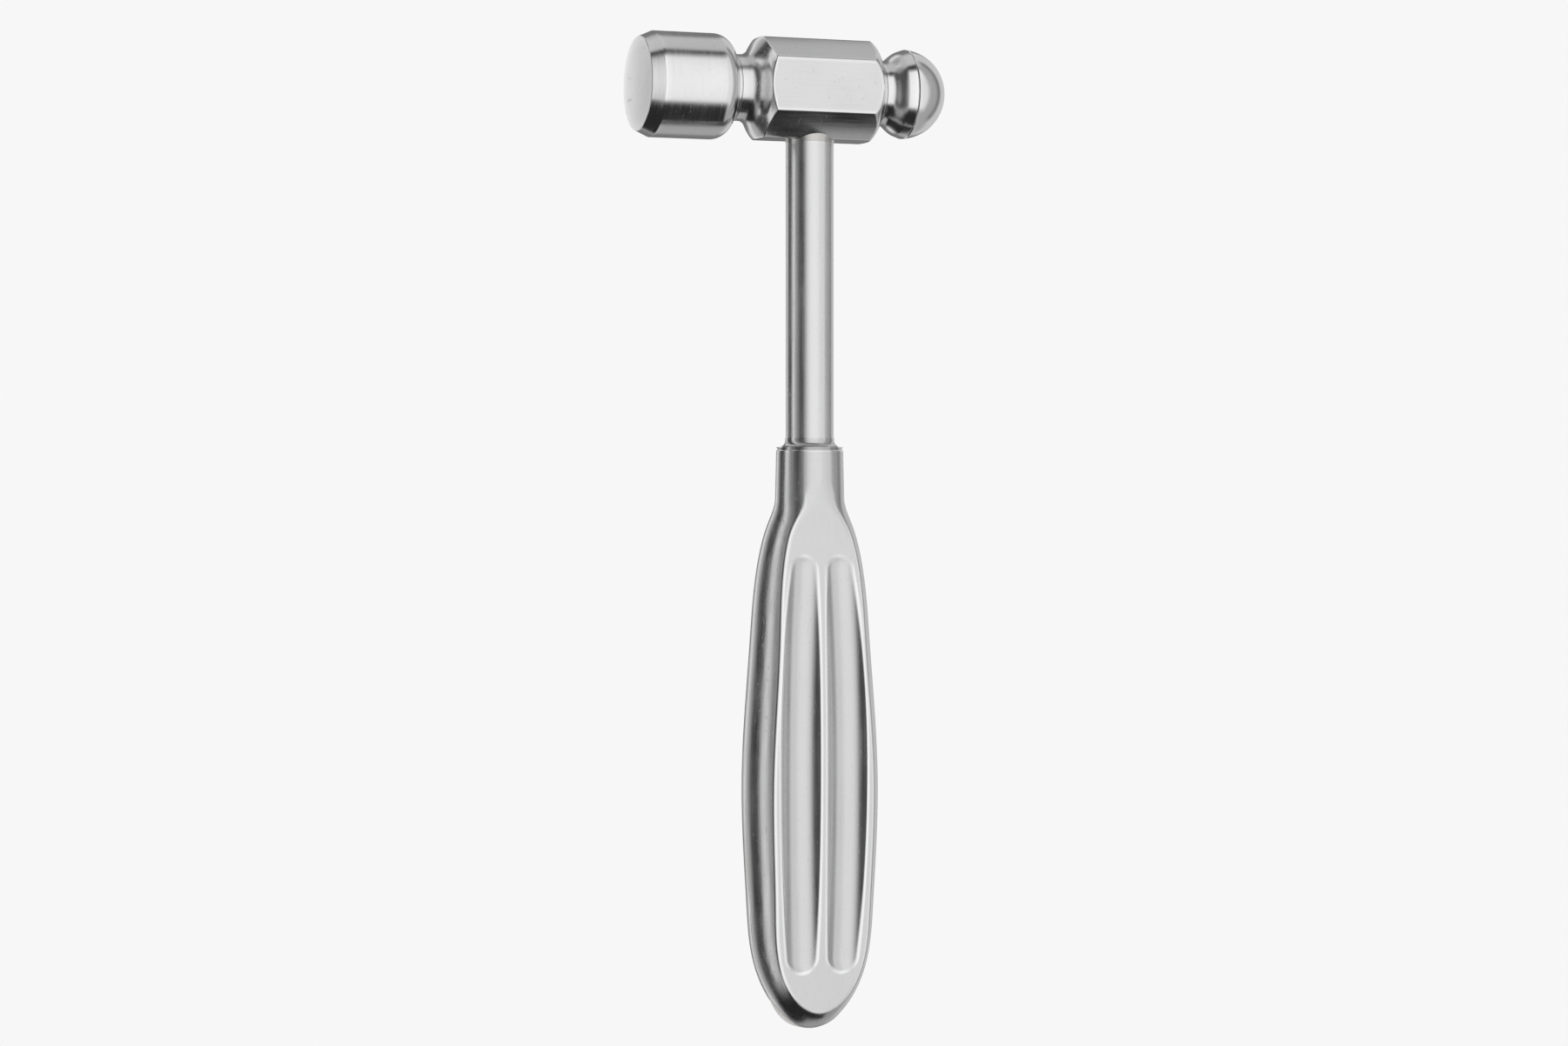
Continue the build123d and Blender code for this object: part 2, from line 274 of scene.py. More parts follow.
def mark_edges(mesh):
    """Store how sharply each point bends: 1 on an outer edge, 0 on a plain surface, -1 in a
    groove.
    """
    count = len(mesh.vertices)
    places = np.empty(count * 3)
    normals = np.empty(count * 3)
    ends = np.empty(len(mesh.edges) * 2, dtype=np.int32)
    mesh.vertices.foreach_get("co", places)
    mesh.vertices.foreach_get("normal", normals)
    mesh.edges.foreach_get("vertices", ends)
    places, normals = places.reshape(-1, 3), normals.reshape(-1, 3)
    a, b = ends[::2], ends[1::2]
    across = places[b] - places[a]
    length_squared = np.maximum((across**2).sum(1), 1e-12)
    bend = (across * (normals[b] - normals[a])).sum(1) / length_squared * MM
    both = np.concatenate([a, b])

    def sharpest(bends, limits):
        found = np.zeros(count)
        np.maximum.at(found, both, np.tile(np.clip(bends, 0, SHARPEST_BEND), 2))
        return np.clip((found - limits[0]) / (limits[1] - limits[0]), 0, 1)

    edge_mask, groove_mask = sharpest(bend, EDGE_BEND), sharpest(-bend, GROOVE_BEND)
    level = edge_mask - groove_mask * (edge_mask < 0.5)
    near = np.maximum(np.bincount(both, minlength=count), 1)
    for _ in range(MARK_SPREAD):
        around = np.bincount(a, level[b], count) + np.bincount(b, level[a], count)
        level = (1 - MARK_PASSED) * level + MARK_PASSED * around / near
    edges_and_grooves = mesh.attributes.new("edges_and_grooves", "FLOAT", "POINT")
    edges_and_grooves.data.foreach_set("value", np.clip(level * MARK_GAIN, -1, 1))


def make_piece(name, points, faces, node, material):
    """A finished piece in the place of a CAD node."""
    mesh = bpy.data.meshes.new(name)
    mesh.from_pydata([tuple(p * MM) for p in points], [], faces)
    mesh.validate()
    shape = bmesh.new()
    shape.from_mesh(mesh)
    bmesh.ops.remove_doubles(shape, verts=shape.verts, dist=SAME_POINT)
    bmesh.ops.recalc_face_normals(shape, faces=shape.faces)
    shape.to_mesh(mesh)
    shape.free()
    mark_edges(mesh)
    mesh.shade_smooth()
    mesh.set_sharp_from_angle(angle=SHARP_ANGLE)
    mesh.materials.append(material)
    piece = bpy.data.objects.new(name, mesh)
    bpy.context.scene.collection.objects.link(piece)
    weighted = piece.modifiers.new("weighted_normals", "WEIGHTED_NORMAL")
    weighted.keep_sharp = True
    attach(piece, "root")
    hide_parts(node)


def strip_faces(rows, columns, wrap):
    """Quads between the rows of a grid of points; wrap joins the last column to the first."""
    faces = []
    for i in range(rows - 1):
        for j in range(columns if wrap else columns - 1):
            k = (j + 1) % columns
            this, following = i * columns, (i + 1) * columns
            faces.append((this + j, this + k, following + k, following + j))
    return faces


def turned_grid(outline, axis):
    """Points of an outline turned about the head's axis ("X") or the handle's ("Z")."""
    angles = np.arange(TURNS) * 2 * pi / TURNS
    along, radius = outline[:, :1], outline[:, 1:]
    across, up = radius * np.cos(angles), radius * np.sin(angles)
    level = np.repeat(along, TURNS, axis=1)
    grid = [level, across, up + HEAD_Z] if axis == "X" else [up, across, level]
    return np.stack(grid, 2).reshape(-1, 3)


def turned_piece(name, outline, axis, node, material):
    """A solid whose outline runs from its axis round to its axis again."""
    body = stepped(outline)[1:-1]
    start, end = outline[0][0], outline[-1][0]
    tips = [(start, 0, HEAD_Z), (end, 0, HEAD_Z)] if axis == "X" else [(0, 0, start), (0, 0, end)]
    points = np.concatenate([turned_grid(body, axis), np.array(tips, float)])
    rows = len(body)
    faces = strip_faces(rows, TURNS, True)
    first, last = rows * TURNS, rows * TURNS + 1
    for j in range(TURNS):
        k = (j + 1) % TURNS
        faces.append((first, k, j))
        faces.append((last, (rows - 1) * TURNS + j, (rows - 1) * TURNS + k))
    make_piece(name, points, faces, node, material)


def turned_ring(name, outline, node, material):
    """A solid round the handle's axis, whose closed outline doesn't reach it."""
    outline = stepped(outline)
    last = (len(outline) - 1) * TURNS
    faces = strip_faces(len(outline), TURNS, True)
    for j in range(TURNS):
        k = (j + 1) % TURNS
        faces.append((last + j, last + k, k, j))
    make_piece(name, turned_grid(outline, "Z"), faces, node, material)


# ---------------------------------------------------------------- materials

NOISE_SPREAD = (0.3, 0.7)             # where most of a noise's values lie
CLOUD_SCALE = 90.0
SPECK_SCALE = 1400.0
SCRATCH_TURNS = ((0.3, 0.5, 0.4), (1.1, -0.4, -0.9))
SCRATCH_SCALE = (4200, 90, 700)
SCRATCH_CUT = (0.72, 0.78)            # only the tops of the noise are scratches
SCRATCH_ROUGHNESS = 0.12
SCRATCH_DEPTH = 0.8                   # as a share of the grain's depth
CLOUD_ROUGHNESS = (0.82, 1.22)        # as shares of a steel's own roughness
LINE_ROUGHNESS = 0.25                 # the same
WORN_ROUGHNESS = 0.55                 # the same
FILLED_ROUGHNESS = 0.3                # added in grooves
PATINA = 0.1                          # how much darker a steel's dull patches are
SPECK_SHADE = 0.8
# Outer edges are painted towards this colour: a painted highlight along them, over their wear
EDGE_WEAR_AND_HIGHLIGHT_COLOR = (0.93, 0.93, 0.93, 1)
# Sharp grooves and joints are painted towards this colour: grime, and painted shade where they
# close in
GROOVE_GRIME_AND_SHADE_COLOR = (0.16, 0.145, 0.125, 1)

# A finish is how close its lines are in each direction, or the axis that the piece was turned on
GRINDING = (130, 2400, 2400)          # along the head
BRUSHING = (2400, 2400, 55)           # along the handle and the shaft
BRAZE_GRAIN = (1500, 1500, 1500)
LATHE_LINES = 2600
LATHE_DRIFT = 1.2

# A Mix node's colour sockets, which have the same names as its number sockets
MIX_BELOW, MIX_ABOVE, MIX_RESULT = 6, 7, 2


def node_in(tree, kind, **settings):
    """A new node, with its properties and its inputs set by name."""
    made = tree.nodes.new(kind)
    for key, value in settings.items():
        if key in made.inputs:
            made.inputs[key].default_value = value
        else:
            setattr(made, key, value)
    return made


def feed(tree, socket, value):
    """Give an input a number or a colour, or link another node's output to it."""
    if isinstance(value, bpy.types.NodeSocket):
        tree.links.new(value, socket)
    else:
        socket.default_value = value


def math_node(tree, operation, *values):
    """The output of a Math node on sockets and numbers."""
    made = node_in(tree, "ShaderNodeMath", operation=operation)
    for socket, value in zip(made.inputs, values):
        feed(tree, socket, value)
    return made.outputs[0]


def scaled(tree, value, low, high, first, last, course="LINEAR"):
    """A value carried from one range to another, and held at its ends."""
    ramp = node_in(tree, "ShaderNodeMapRange", interpolation_type=course)
    ramp.inputs["From Min"].default_value = low
    ramp.inputs["From Max"].default_value = high
    ramp.inputs["To Min"].default_value = first
    ramp.inputs["To Max"].default_value = last
    tree.links.new(value, ramp.inputs["Value"])
    return ramp.outputs["Result"]


def noise(tree, vector, scale, detail, rough):
    made = node_in(tree, "ShaderNodeTexNoise", Scale=scale, Detail=detail, Roughness=rough)
    tree.links.new(vector, made.inputs["Vector"])
    return made.outputs["Fac"]


def shade(color, amount):
    return tuple(c * amount for c in color) + (1,)


def mixed_color(tree, share, below, above):
    """One colour or socket laid over another."""
    mix = node_in(tree, "ShaderNodeMix", data_type="RGBA")
    tree.links.new(share, mix.inputs["Factor"])
    feed(tree, mix.inputs[MIX_BELOW], below)
    feed(tree, mix.inputs[MIX_ABOVE], above)
    return mix.outputs[MIX_RESULT]


def straight_finish(tree, place, scale):
    """Coordinates for a finish that runs along the direction with the smallest scale."""
    stretch = node_in(tree, "ShaderNodeMapping")
    stretch.inputs["Scale"].default_value = scale
    tree.links.new(place, stretch.inputs["Vector"])
    return stretch.outputs["Vector"]


def turned_finish(tree, place, axis):
    """Coordinates for lathe marks: rings round the head's axis ("X") or the shaft's ("Z")."""
    split = node_in(tree, "ShaderNodeSeparateXYZ")
    tree.links.new(place, split.inputs["Vector"])
    first = split.outputs["Y"]
    second = split.outputs["X"]
    if axis == "X":
        second = math_node(tree, "SUBTRACT", split.outputs["Z"], HEAD_Z * MM)
    squares = [math_node(tree, "MULTIPLY", value, value) for value in (first, second)]
    radius = math_node(tree, "SQRT", math_node(tree, "ADD", *squares))
    bearing = math_node(tree, "ARCTAN2", first, second)
    made = node_in(tree, "ShaderNodeCombineXYZ")
    for name, value, lines in (
        ("X", split.outputs[axis], LATHE_LINES),
        ("Y", radius, LATHE_LINES),
        ("Z", bearing, LATHE_DRIFT),
    ):
        tree.links.new(math_node(tree, "MULTIPLY", value, lines), made.inputs[name])
    return made.outputs["Vector"]


def scratches(tree, place, turn):
    """Sparse hairline scratches in one direction: 1 in a scratch, 0 elsewhere."""
    aim = node_in(tree, "ShaderNodeMapping")
    aim.inputs["Rotation"].default_value = turn
    aim.inputs["Scale"].default_value = SCRATCH_SCALE
    tree.links.new(place, aim.inputs["Vector"])
    return scaled(tree, noise(tree, aim.outputs["Vector"], 1.0, 1.0, 0.4), *SCRATCH_CUT, 0, 1)


def steel(name, color, roughness, finish, grain_depth, edge=1.0):
    """Stainless steel: a directional finish, hairline scratches, cloudy gloss, worn edges with a
    painted highlight, and grooves with grime and painted shade.

    The mesh's attribute of edges and grooves polishes outer edges and paints them lighter, a
    painted highlight over their wear, as strongly as edge says; it dulls what lies in a groove and
    paints it darker, grime with painted shade. The grain's depth is in metres.
    """
    material = bpy.data.materials.new(name)
    material.use_nodes = True
    tree = material.node_tree
    shader = tree.nodes["Principled BSDF"]
    shader.inputs["Metallic"].default_value = 1.0
    link = tree.links.new
    place = node_in(tree, "ShaderNodeTexCoord").outputs["Object"]
    make_finish = turned_finish if finish in ("X", "Z") else straight_finish
    lines = noise(tree, make_finish(tree, place, finish), 1.0, 4.0, 0.62)
    cloud = noise(tree, place, CLOUD_SCALE, 4.0, 0.55)
    speck = noise(tree, place, SPECK_SCALE, 2.0, 0.5)
    hairs = math_node(tree, "MAXIMUM", *[scratches(tree, place, turn) for turn in SCRATCH_TURNS])
    edges_and_grooves = node_in(tree, "ShaderNodeAttribute", attribute_name="edges_and_grooves").outputs["Fac"]
    edge_mask = scaled(tree, edges_and_grooves, 0.1, 0.9, 0, edge)
    groove_mask = scaled(tree, edges_and_grooves, -0.8, -0.1, 1, 0)

    clouded = scaled(tree, cloud, *NOISE_SPREAD, *[roughness * share for share in CLOUD_ROUGHNESS])
    line_change = LINE_ROUGHNESS * roughness
    lined = scaled(tree, lines, *NOISE_SPREAD, -line_change, line_change)
    level = math_node(tree, "ADD", clouded, lined)
    level = math_node(tree, "MULTIPLY_ADD", hairs, SCRATCH_ROUGHNESS, level)
    level = math_node(tree, "MULTIPLY", level, scaled(tree, edge_mask, 0, 1, 1.0, WORN_ROUGHNESS))
    level = math_node(tree, "MULTIPLY_ADD", groove_mask, FILLED_ROUGHNESS, level)
    link(level, shader.inputs["Roughness"])

    # Painted shade: sharp grooves and joints are painted darker, in uneven patches, with grime
    groove_grime_and_shade = math_node(tree, "MULTIPLY", groove_mask, scaled(tree, speck, 0.35, 0.6, 0.55, 0.9))
    dull = scaled(tree, math_node(tree, "ADD", lines, cloud), 0.7, 1.3, 0, 1)
    specks = scaled(tree, speck, 0.66, 0.74, 0, 0.5)
    base = mixed_color(tree, dull, shade(color, 1 - PATINA), shade(color, 1.0))
    base = mixed_color(tree, specks, base, shade(color, SPECK_SHADE))
    # Painted highlight: outer edges are painted lighter, over the polish that wear gives them
    base = mixed_color(tree, edge_mask, base, EDGE_WEAR_AND_HIGHLIGHT_COLOR)
    # Grooves painted darker: grime and painted shade
    base = mixed_color(tree, groove_grime_and_shade, base, GROOVE_GRIME_AND_SHADE_COLOR)
    link(base, shader.inputs["Base Color"])

    height = math_node(tree, "MULTIPLY_ADD", hairs, -SCRATCH_DEPTH, lines)
    bump = node_in(tree, "ShaderNodeBump", Strength=1.0, Distance=grain_depth)
    link(height, bump.inputs["Height"])
    link(bump.outputs["Normal"], shader.inputs["Normal"])
    return material


polished = steel("turned_steel", (0.8, 0.8, 0.805), 0.17, "X", 4.5e-6, edge=0.5)
ground = steel("ground_steel", (0.72, 0.72, 0.725), 0.2, GRINDING, 5e-6, edge=0.4)
bar = steel("bar_steel", (0.76, 0.76, 0.765), 0.27, BRUSHING, 3e-6)
collar = steel("collar_steel", (0.62, 0.62, 0.625), 0.22, "Z", 3e-6, edge=0.2)
satin = steel("satin_steel", (0.67, 0.67, 0.675), 0.235, BRUSHING, 6e-6, edge=0.65)
brazed = steel("braze", (0.62, 0.61, 0.59), 0.27, BRAZE_GRAIN, 6e-6)
inner = steel("inner_steel", (0.6, 0.6, 0.61), 0.3, "Z", 4e-6)


# ---------------------------------------------------------------- head

def make_drum():
    edge_x = FACE_X + FACE_EDGE
    back_x = DRUM_BACK_X - DRUM_SHOULDER_R
    back_r = DRUM_R - DRUM_SHOULDER_R
    diagonal = DRUM_SHOULDER_R / sqrt(2)
    face = [
        (FACE_X + FACE_CROWN * share**2, FACE_R * share)
        for share in (0, 0.25, 0.5, 0.7, 0.85)
    ]
    rim = eased([
        face[-1],
        (FACE_X + FACE_CROWN, FACE_R),
        (edge_x, DRUM_R),
        (back_x, DRUM_R),
    ], BROAD_EDGE)
    shoulder = arc(
        (back_x, DRUM_R),
        (back_x + diagonal, back_r + diagonal),
        (DRUM_BACK_X, back_r),
    )
    tail = eased([
        (DRUM_BACK_X, back_r),
        (LEFT_JOINT_X - JOINT_BEVEL, LEFT_NECK_R),
        (LEFT_JOINT_X, LEFT_NECK_R - JOINT_BEVEL),
        (LEFT_JOINT_X, DRUM_SPIGOT_R),
        (-SPIGOT_END_X, DRUM_SPIGOT_R),
        (-SPIGOT_END_X, 0),
    ], FINE_EDGE)
    outline = joined(face, rim, shoulder, tail)
    turned_piece("drum", outline, "X", "striking_drum", polished)


def make_ball():
    centre_x = BALL_APEX_X - BALL_R
    diagonal = BALL_R / sqrt(2)
    start_x = CREASE_X + CREASE_HALF
    start_r = sqrt(BALL_R**2 - (start_x - centre_x) ** 2)
    land_r = start_r + LAND_RISE
    stem = eased([
        (SPIGOT_END_X, 0),
        (SPIGOT_END_X, BALL_SPIGOT_R),
        (RIGHT_JOINT_X, BALL_SPIGOT_R),
        (RIGHT_JOINT_X, RIGHT_NECK_R - JOINT_BEVEL),
        (RIGHT_JOINT_X + JOINT_BEVEL, RIGHT_NECK_R),
        BALL_FLARE[0],
    ], FINE_EDGE)
    flare = spline(BALL_FLARE, (1, 0), (1, 0.45), BALL_FLARE_STEP)
    crease = eased([
        BALL_FLARE[-1],
        (CREASE_X - CREASE_HALF, land_r),
        (CREASE_X, land_r - CREASE_DEPTH),
        (start_x, start_r),
    ], FINE_EDGE)
    dome = arc(
        (start_x, start_r),
        (centre_x + diagonal, diagonal),
        (BALL_APEX_X, 0),
        radians(2),
    )
    outline = joined(stem, flare, crease, dome)
    turned_piece("ball", outline, "X", "ball_pein", polished)


def octagon_radius(angles):
    """Distance from the head's axis to the octagon's softened outline, by direction."""
    y, z = np.abs(np.cos(angles)), np.abs(np.sin(angles))
    run = BLOCK_HALF - BLOCK_TOP_HALF
    rise = BLOCK_HALF - BLOCK_SIDE_HALF
    slant = sqrt(run**2 + rise**2)
    reach = (BLOCK_HALF * rise + BLOCK_SIDE_HALF * run) / slant
    side = BLOCK_HALF / np.maximum(y, TINY)
    top = BLOCK_HALF / np.maximum(z, TINY)
    oblique = reach / np.maximum((y * rise + z * run) / slant, TINY)
    top_part = (BLOCK_HALF + BLOCK_TOP_HALF) * run
    side_part = (BLOCK_HALF + BLOCK_SIDE_HALF) * rise
    middle = (top_part - side_part) / (2 * slant)
    along = oblique * (y * run - z * rise) / slant - middle
    share = np.clip(2 * along / slant, -CROWN_REACH, CROWN_REACH)
    oblique += FACET_CROWN * (1 - share**2)
    return smooth_min(smooth_min(side, oblique, FACET_BLEND), top, FACET_BLEND)


def block_outline():
    """The turned outline that the octagon's ends run down to, from joint to joint."""
    left = eased([
        (LEFT_JOINT_X, DRUM_SPIGOT_R),
        (LEFT_JOINT_X, LEFT_NECK_R - JOINT_BEVEL),
        (LEFT_JOINT_X + JOINT_BEVEL, LEFT_NECK_R),
        LEFT_FLARE[0],
    ], FINE_EDGE)
    flare = spline(LEFT_FLARE, (1, 0), (0.75, 1), BLOCK_FLARE_STEP)
    chamfer = np.linspace(LEFT_FLARE[-1], LEFT_CHAMFER_END, CHAMFER_ROWS)
    facets = np.linspace(*OUTSIDE_OCTAGON, FACET_ROWS)
    shoulder = arc(*RIGHT_SHOULDER, radians(3))
    right = eased([
        RIGHT_SHOULDER[-1],
        *RIGHT_STEP,
        (RIGHT_JOINT_X - JOINT_BEVEL, RIGHT_NECK_R),
        (RIGHT_JOINT_X, RIGHT_NECK_R - JOINT_BEVEL),
        (RIGHT_JOINT_X, BALL_SPIGOT_R),
    ], FINE_EDGE)
    return joined(left, flare, chamfer, facets, RIGHT_SHOULDER_TOP, shoulder, right)


def block_angles():
    """Directions round the block, closest together at the octagon's eight edges."""
    quarter = [
        np.arctan2(BLOCK_SIDE_HALF, BLOCK_HALF),
        np.arctan2(BLOCK_HALF, BLOCK_TOP_HALF),
    ]
    half = quarter + [pi - edge for edge in quarter]
    edges = sorted(half + [-edge for edge in half])
    near = np.radians([-turn for turn in reversed(BESIDE_EDGE)] + [0] + BESIDE_EDGE)
    found = []
    for edge, following in zip(edges, edges[1:] + [edges[0] + 2 * pi]):
        found += list(edge + near)
        gap = following - edge - 2 * near[-1]
        count = max(3, int(gap / FACET_STEP))
        found += list(edge + near[-1] + gap * np.arange(1, count) / count)
    return np.array(found)


def make_block():
    angles = block_angles()
    outline = block_outline()
    rows, columns = len(outline), len(angles)
    turned = np.repeat(outline[:, 1:], columns, 1)
    octagon = np.repeat(octagon_radius(angles)[None, :], rows, 0)
    radius = smooth_min(turned, octagon, TURNED_BLEND)
    bores = np.array([(SPIGOT_END_X, BALL_SPIGOT_R), (-SPIGOT_END_X, DRUM_SPIGOT_R)])
    along = np.concatenate([outline[:, :1], bores[:, :1]])
    radius = np.concatenate([radius, np.repeat(bores[:, 1:], columns, 1)])
    grid = np.stack([
        np.repeat(along, columns, 1),
        radius * np.cos(angles),
        radius * np.sin(angles) + HEAD_Z,
    ], 2)
    faces = strip_faces(rows, columns, True)
    last, right_ring, left_ring = (row * columns for row in (rows - 1, rows, rows + 1))
    for j in range(columns):
        k = (j + 1) % columns
        faces.append((last + j, last + k, right_ring + k, right_ring + j))
        faces.append((left_ring + j, left_ring + k, k, j))
    faces.append(tuple(right_ring + j for j in range(columns)))
    faces.append(tuple(left_ring + j for j in reversed(range(columns))))
    make_piece("block", grid.reshape(-1, 3), faces, "head_body", ground)


# ---------------------------------------------------------------- shaft and ferrule

def make_shaft():
    tang_end = shaft_low.z
    tenon_end = shaft_high.z
    outline = eased([
        (tang_end, 0),
        (tang_end, TANG_R - TANG_TIP),
        (tang_end + TANG_TIP, TANG_R),
        (FERRULE_SEAT_Z, TANG_R),
        (FERRULE_SEAT_Z, SHAFT_R),
        (SHAFT_SEAT_Z, SHAFT_R),
        (SHAFT_SEAT_Z, TENON_R),
        (tenon_end, TENON_R),
        (tenon_end, 0),
    ], SHAFT_EDGE)
    turned_piece("rod", outline, "Z", "shaft", bar)


def make_ferrule():
    lip_r = SHAFT_R + COVE_LIP
    cove_top = ferrule_high.z
    sag = COVE_SAG / sqrt(2)
    middle = ((cove_top + NECK_TOP_Z) / 2 - sag, (lip_r + NECK_R) / 2 - sag)
    cove = arc((cove_top, lip_r), middle, (NECK_TOP_Z + NECK_BEVEL, NECK_R), radians(5))
    plug_r = NECK_R - WALL - PLUG_GAP
    rest = eased([
        (NECK_TOP_Z + NECK_BEVEL, NECK_R),
        (NECK_TOP_Z, NECK_R - NECK_BEVEL),
        (NECK_TOP_Z, plug_r),
        (ferrule_low.z, plug_r),
        (ferrule_low.z, TANG_R),
        (FERRULE_SEAT_Z, TANG_R),
        (FERRULE_SEAT_Z, SHAFT_R),
        (cove_top, SHAFT_R),
    ], SHAFT_EDGE)
    turned_ring("ferrule", joined(cove, rest), "neck_ferrule", collar)


# ---------------------------------------------------------------- handle

def handle_outline(inset):
    """Radius and height from the handle's neck to its butt, closest at the ends of the flutes."""
    neck_r = NECK_R - inset
    points = [(r - inset, z) for r, z in OUTLINE] + [(0, BUTT_Z + inset)]
    body = spline(points, (0.1, -1), (-1, 0), HANDLE_STEP)
    bevel = NECK_BEVEL if inset == 0 else 0
    shoulder = [(neck_r - bevel, NECK_TOP_Z), (neck_r - bevel / 2, NECK_TOP_Z - bevel / 2)]
    neck = np.linspace((neck_r, NECK_TOP_Z - bevel), points[0], NECK_ROWS)
    path = joined(shoulder, neck, body)
    height = (path[1:, 1] + path[:-1, 1]) / 2
    from_end = np.minimum(np.abs(height - FLUTE_TOP[2] - 1), np.abs(height - FLUTE_BUTT[2] + 1))
    density = 1 + (FINE_ROWS - 1) * np.clip(1.5 - from_end / FINE_REACH, 0, 1)
    density = np.where(height > NECK_TOP_Z - 2 * NECK_BEVEL, 2 * FINE_ROWS, density)
    steps = np.linalg.norm(np.diff(path, axis=0), axis=1) * density
    length = np.concatenate([[0], np.cumsum(steps)])
    even = np.linspace(0, length[-1], HANDLE_ROWS)
    return np.stack([np.interp(even, length, path[:, 0]), np.interp(even, length, path[:, 1])], 1)


def face_depth(height, inset):
    """Half thickness across the flattened faces at some heights."""
    barrel = FACE_HALF - FACE_BARREL + np.sqrt(FACE_BARREL**2 - height**2)
    start = (FACE_HALF - FACE_BARREL + sqrt(FACE_BARREL**2 - FACE_TOP_Z**2), FACE_TOP_Z)
    leaving = (-FACE_TOP_Z / FACE_BARREL, 1)
    run = spline([start] + FACE_RUNOUT, leaving, (FACE_RUNOUT_SLOPE, 1), FACE_RUNOUT_STEP)
    out = np.interp(height, run[:, 1], run[:, 0])
    beyond = np.maximum(height - run[-1, 1], 0) * FACE_RUNOUT_SLOPE
    return np.where(height < FACE_TOP_Z, barrel, out + beyond) - inset


def flute_centre(height):
    """The middle of the flutes' round section at some heights: distance from x = 0, and y."""
    places = []
    for x, depth, z in (FLUTE_MID, FLUTE_TOP, FLUTE_BUTT):
        places.append((x, -(float(face_depth(np.array(z), 0)) - depth + FLUTE_R), z))
    mid, top, butt = places
    found = []
    for i in (0, 1):
        above = (np.clip(height, 0, top[2]) / top[2]) ** 2
        below = (np.clip(height, butt[2], 0) / butt[2]) ** 2
        found.append(mid[i] + (top[i] - mid[i]) * above + (butt[i] - mid[i]) * below)
    return found


def handle_surface(outline, inset, skip):
    """The handle's surface towards -Y: a grid of points, by row of the outline and column."""
    turned, height = outline[:, :1], outline[:, 1:]
    flat = face_depth(height, inset)
    edge = np.arccos(np.clip(flat / np.maximum(turned, TINY), *EDGE_COSINES))
    face_part = np.arctan(np.linspace(-1, 1, FACE_COLUMNS // skip + 1)[None, :] * np.tan(edge))
    side_part = np.linspace(0, 1, SIDE_COLUMNS // skip, endpoint=False)[None, :]
    left = -pi / 2 + (pi / 2 - edge) * side_part
    angles = np.concatenate([left, face_part, -left[:, ::-1]], 1)
    limit = flat / np.maximum(np.cos(angles), SIDEWAYS)
    radius = np.maximum(smooth_min(turned + 0 * limit, limit, FACE_BLEND), 0) * (turned > 0)
    x, y = radius * np.sin(angles), -radius * np.cos(angles)
    centre_x, centre_y = flute_centre(height)
    beyond = np.maximum(height - FLUTE_TOP[2], 0) + np.maximum(FLUTE_BUTT[2] - height, 0)
    for side in (-1, 1):
        inside = (FLUTE_R + inset) ** 2 - (x - side * centre_x) ** 2 - beyond**2
        bottom = np.where(inside > 0, centre_y + np.sqrt(np.maximum(inside, 0)), NO_FLUTE)
        y = smooth_max(y, bottom, FLUTE_BLEND)
    return np.stack([x, y, height + 0 * x], 2)


def shell_grid(inset, skip):
    """One half of the handle as a grid, cut along the seam on both sides."""
    grid = handle_surface(handle_outline(inset)[::skip], inset, skip)
    grid[:, :, 1] = np.minimum(grid[:, :, 1], -SEAM_HALF)
    return grid


def make_shell(name, node, turn):
    """A pressed half of the handle; turn is -1 for the rear one, which faces the other way."""
    outer = shell_grid(0, 1)
    inner = shell_grid(WALL, INNER_SKIP)
    rows, columns = outer.shape[:2]
    inner_rows, inner_columns = inner.shape[:2]
    start = rows * columns
    points = np.concatenate([outer.reshape(-1, 3), inner.reshape(-1, 3)])
    points[:, :2] *= turn
    faces = strip_faces(rows, columns, False)
    for face in strip_faces(inner_rows, inner_columns, False):
        faces.append(tuple(start + v for v in reversed(face)))

    def out(i, j):
        return i * columns + j

    def inn(i, j):
        return start + i * inner_columns + j

    skip = INNER_SKIP
    for i in range(inner_rows - 1):
        run = [out(i * skip + s, 0) for s in range(skip + 1)]
        faces.append(tuple(run + [inn(i + 1, 0), inn(i, 0)]))
        run = [out(i * skip + s, columns - 1) for s in reversed(range(skip + 1))]
        faces.append(tuple(run + [inn(i, inner_columns - 1), inn(i + 1, inner_columns - 1)]))
    for j in range(inner_columns - 1):
        run = [out(0, j * skip + s) for s in reversed(range(skip + 1))]
        faces.append(tuple(run + [inn(0, j), inn(0, j + 1)]))
    make_piece(name, points, faces, node, satin)


# ---------------------------------------------------------------- studio and view

VIEW_AZIMUTH = radians(-20)
VIEW_DISTANCE = 0.704
VIEW_HEIGHT = 0.0464
VIEW_SIDE = 0.0049        # the handle stands this far right of the picture's centre
LENS = 84.6
SENSOR = 36
NEAREST = 0.01


def view_back():
    """From the hammer towards the camera."""
    return Vector((sin(VIEW_AZIMUTH), -cos(VIEW_AZIMUTH), 0))


def view_right():
    return Vector((cos(VIEW_AZIMUTH), sin(VIEW_AZIMUTH), 0))


def make_camera():
    back, right = view_back(), view_right()
    data = bpy.data.cameras.new("camera")
    data.lens = LENS
    data.sensor_width = SENSOR
    data.clip_start = NEAREST
    camera = bpy.data.objects.new("camera", data)
    camera.location = Vector((0, 0, VIEW_HEIGHT)) - right * VIEW_SIDE + back * VIEW_DISTANCE
    camera.rotation_euler = (-back).to_track_quat("-Z", "Y").to_euler()
    bpy.context.scene.collection.objects.link(camera)
    bpy.context.scene.camera = camera


BACKDROP = 0.93           # what the camera sees behind the hammer
STUDIO_BASE = 0.45        # brightness of the room where no panel or flag is
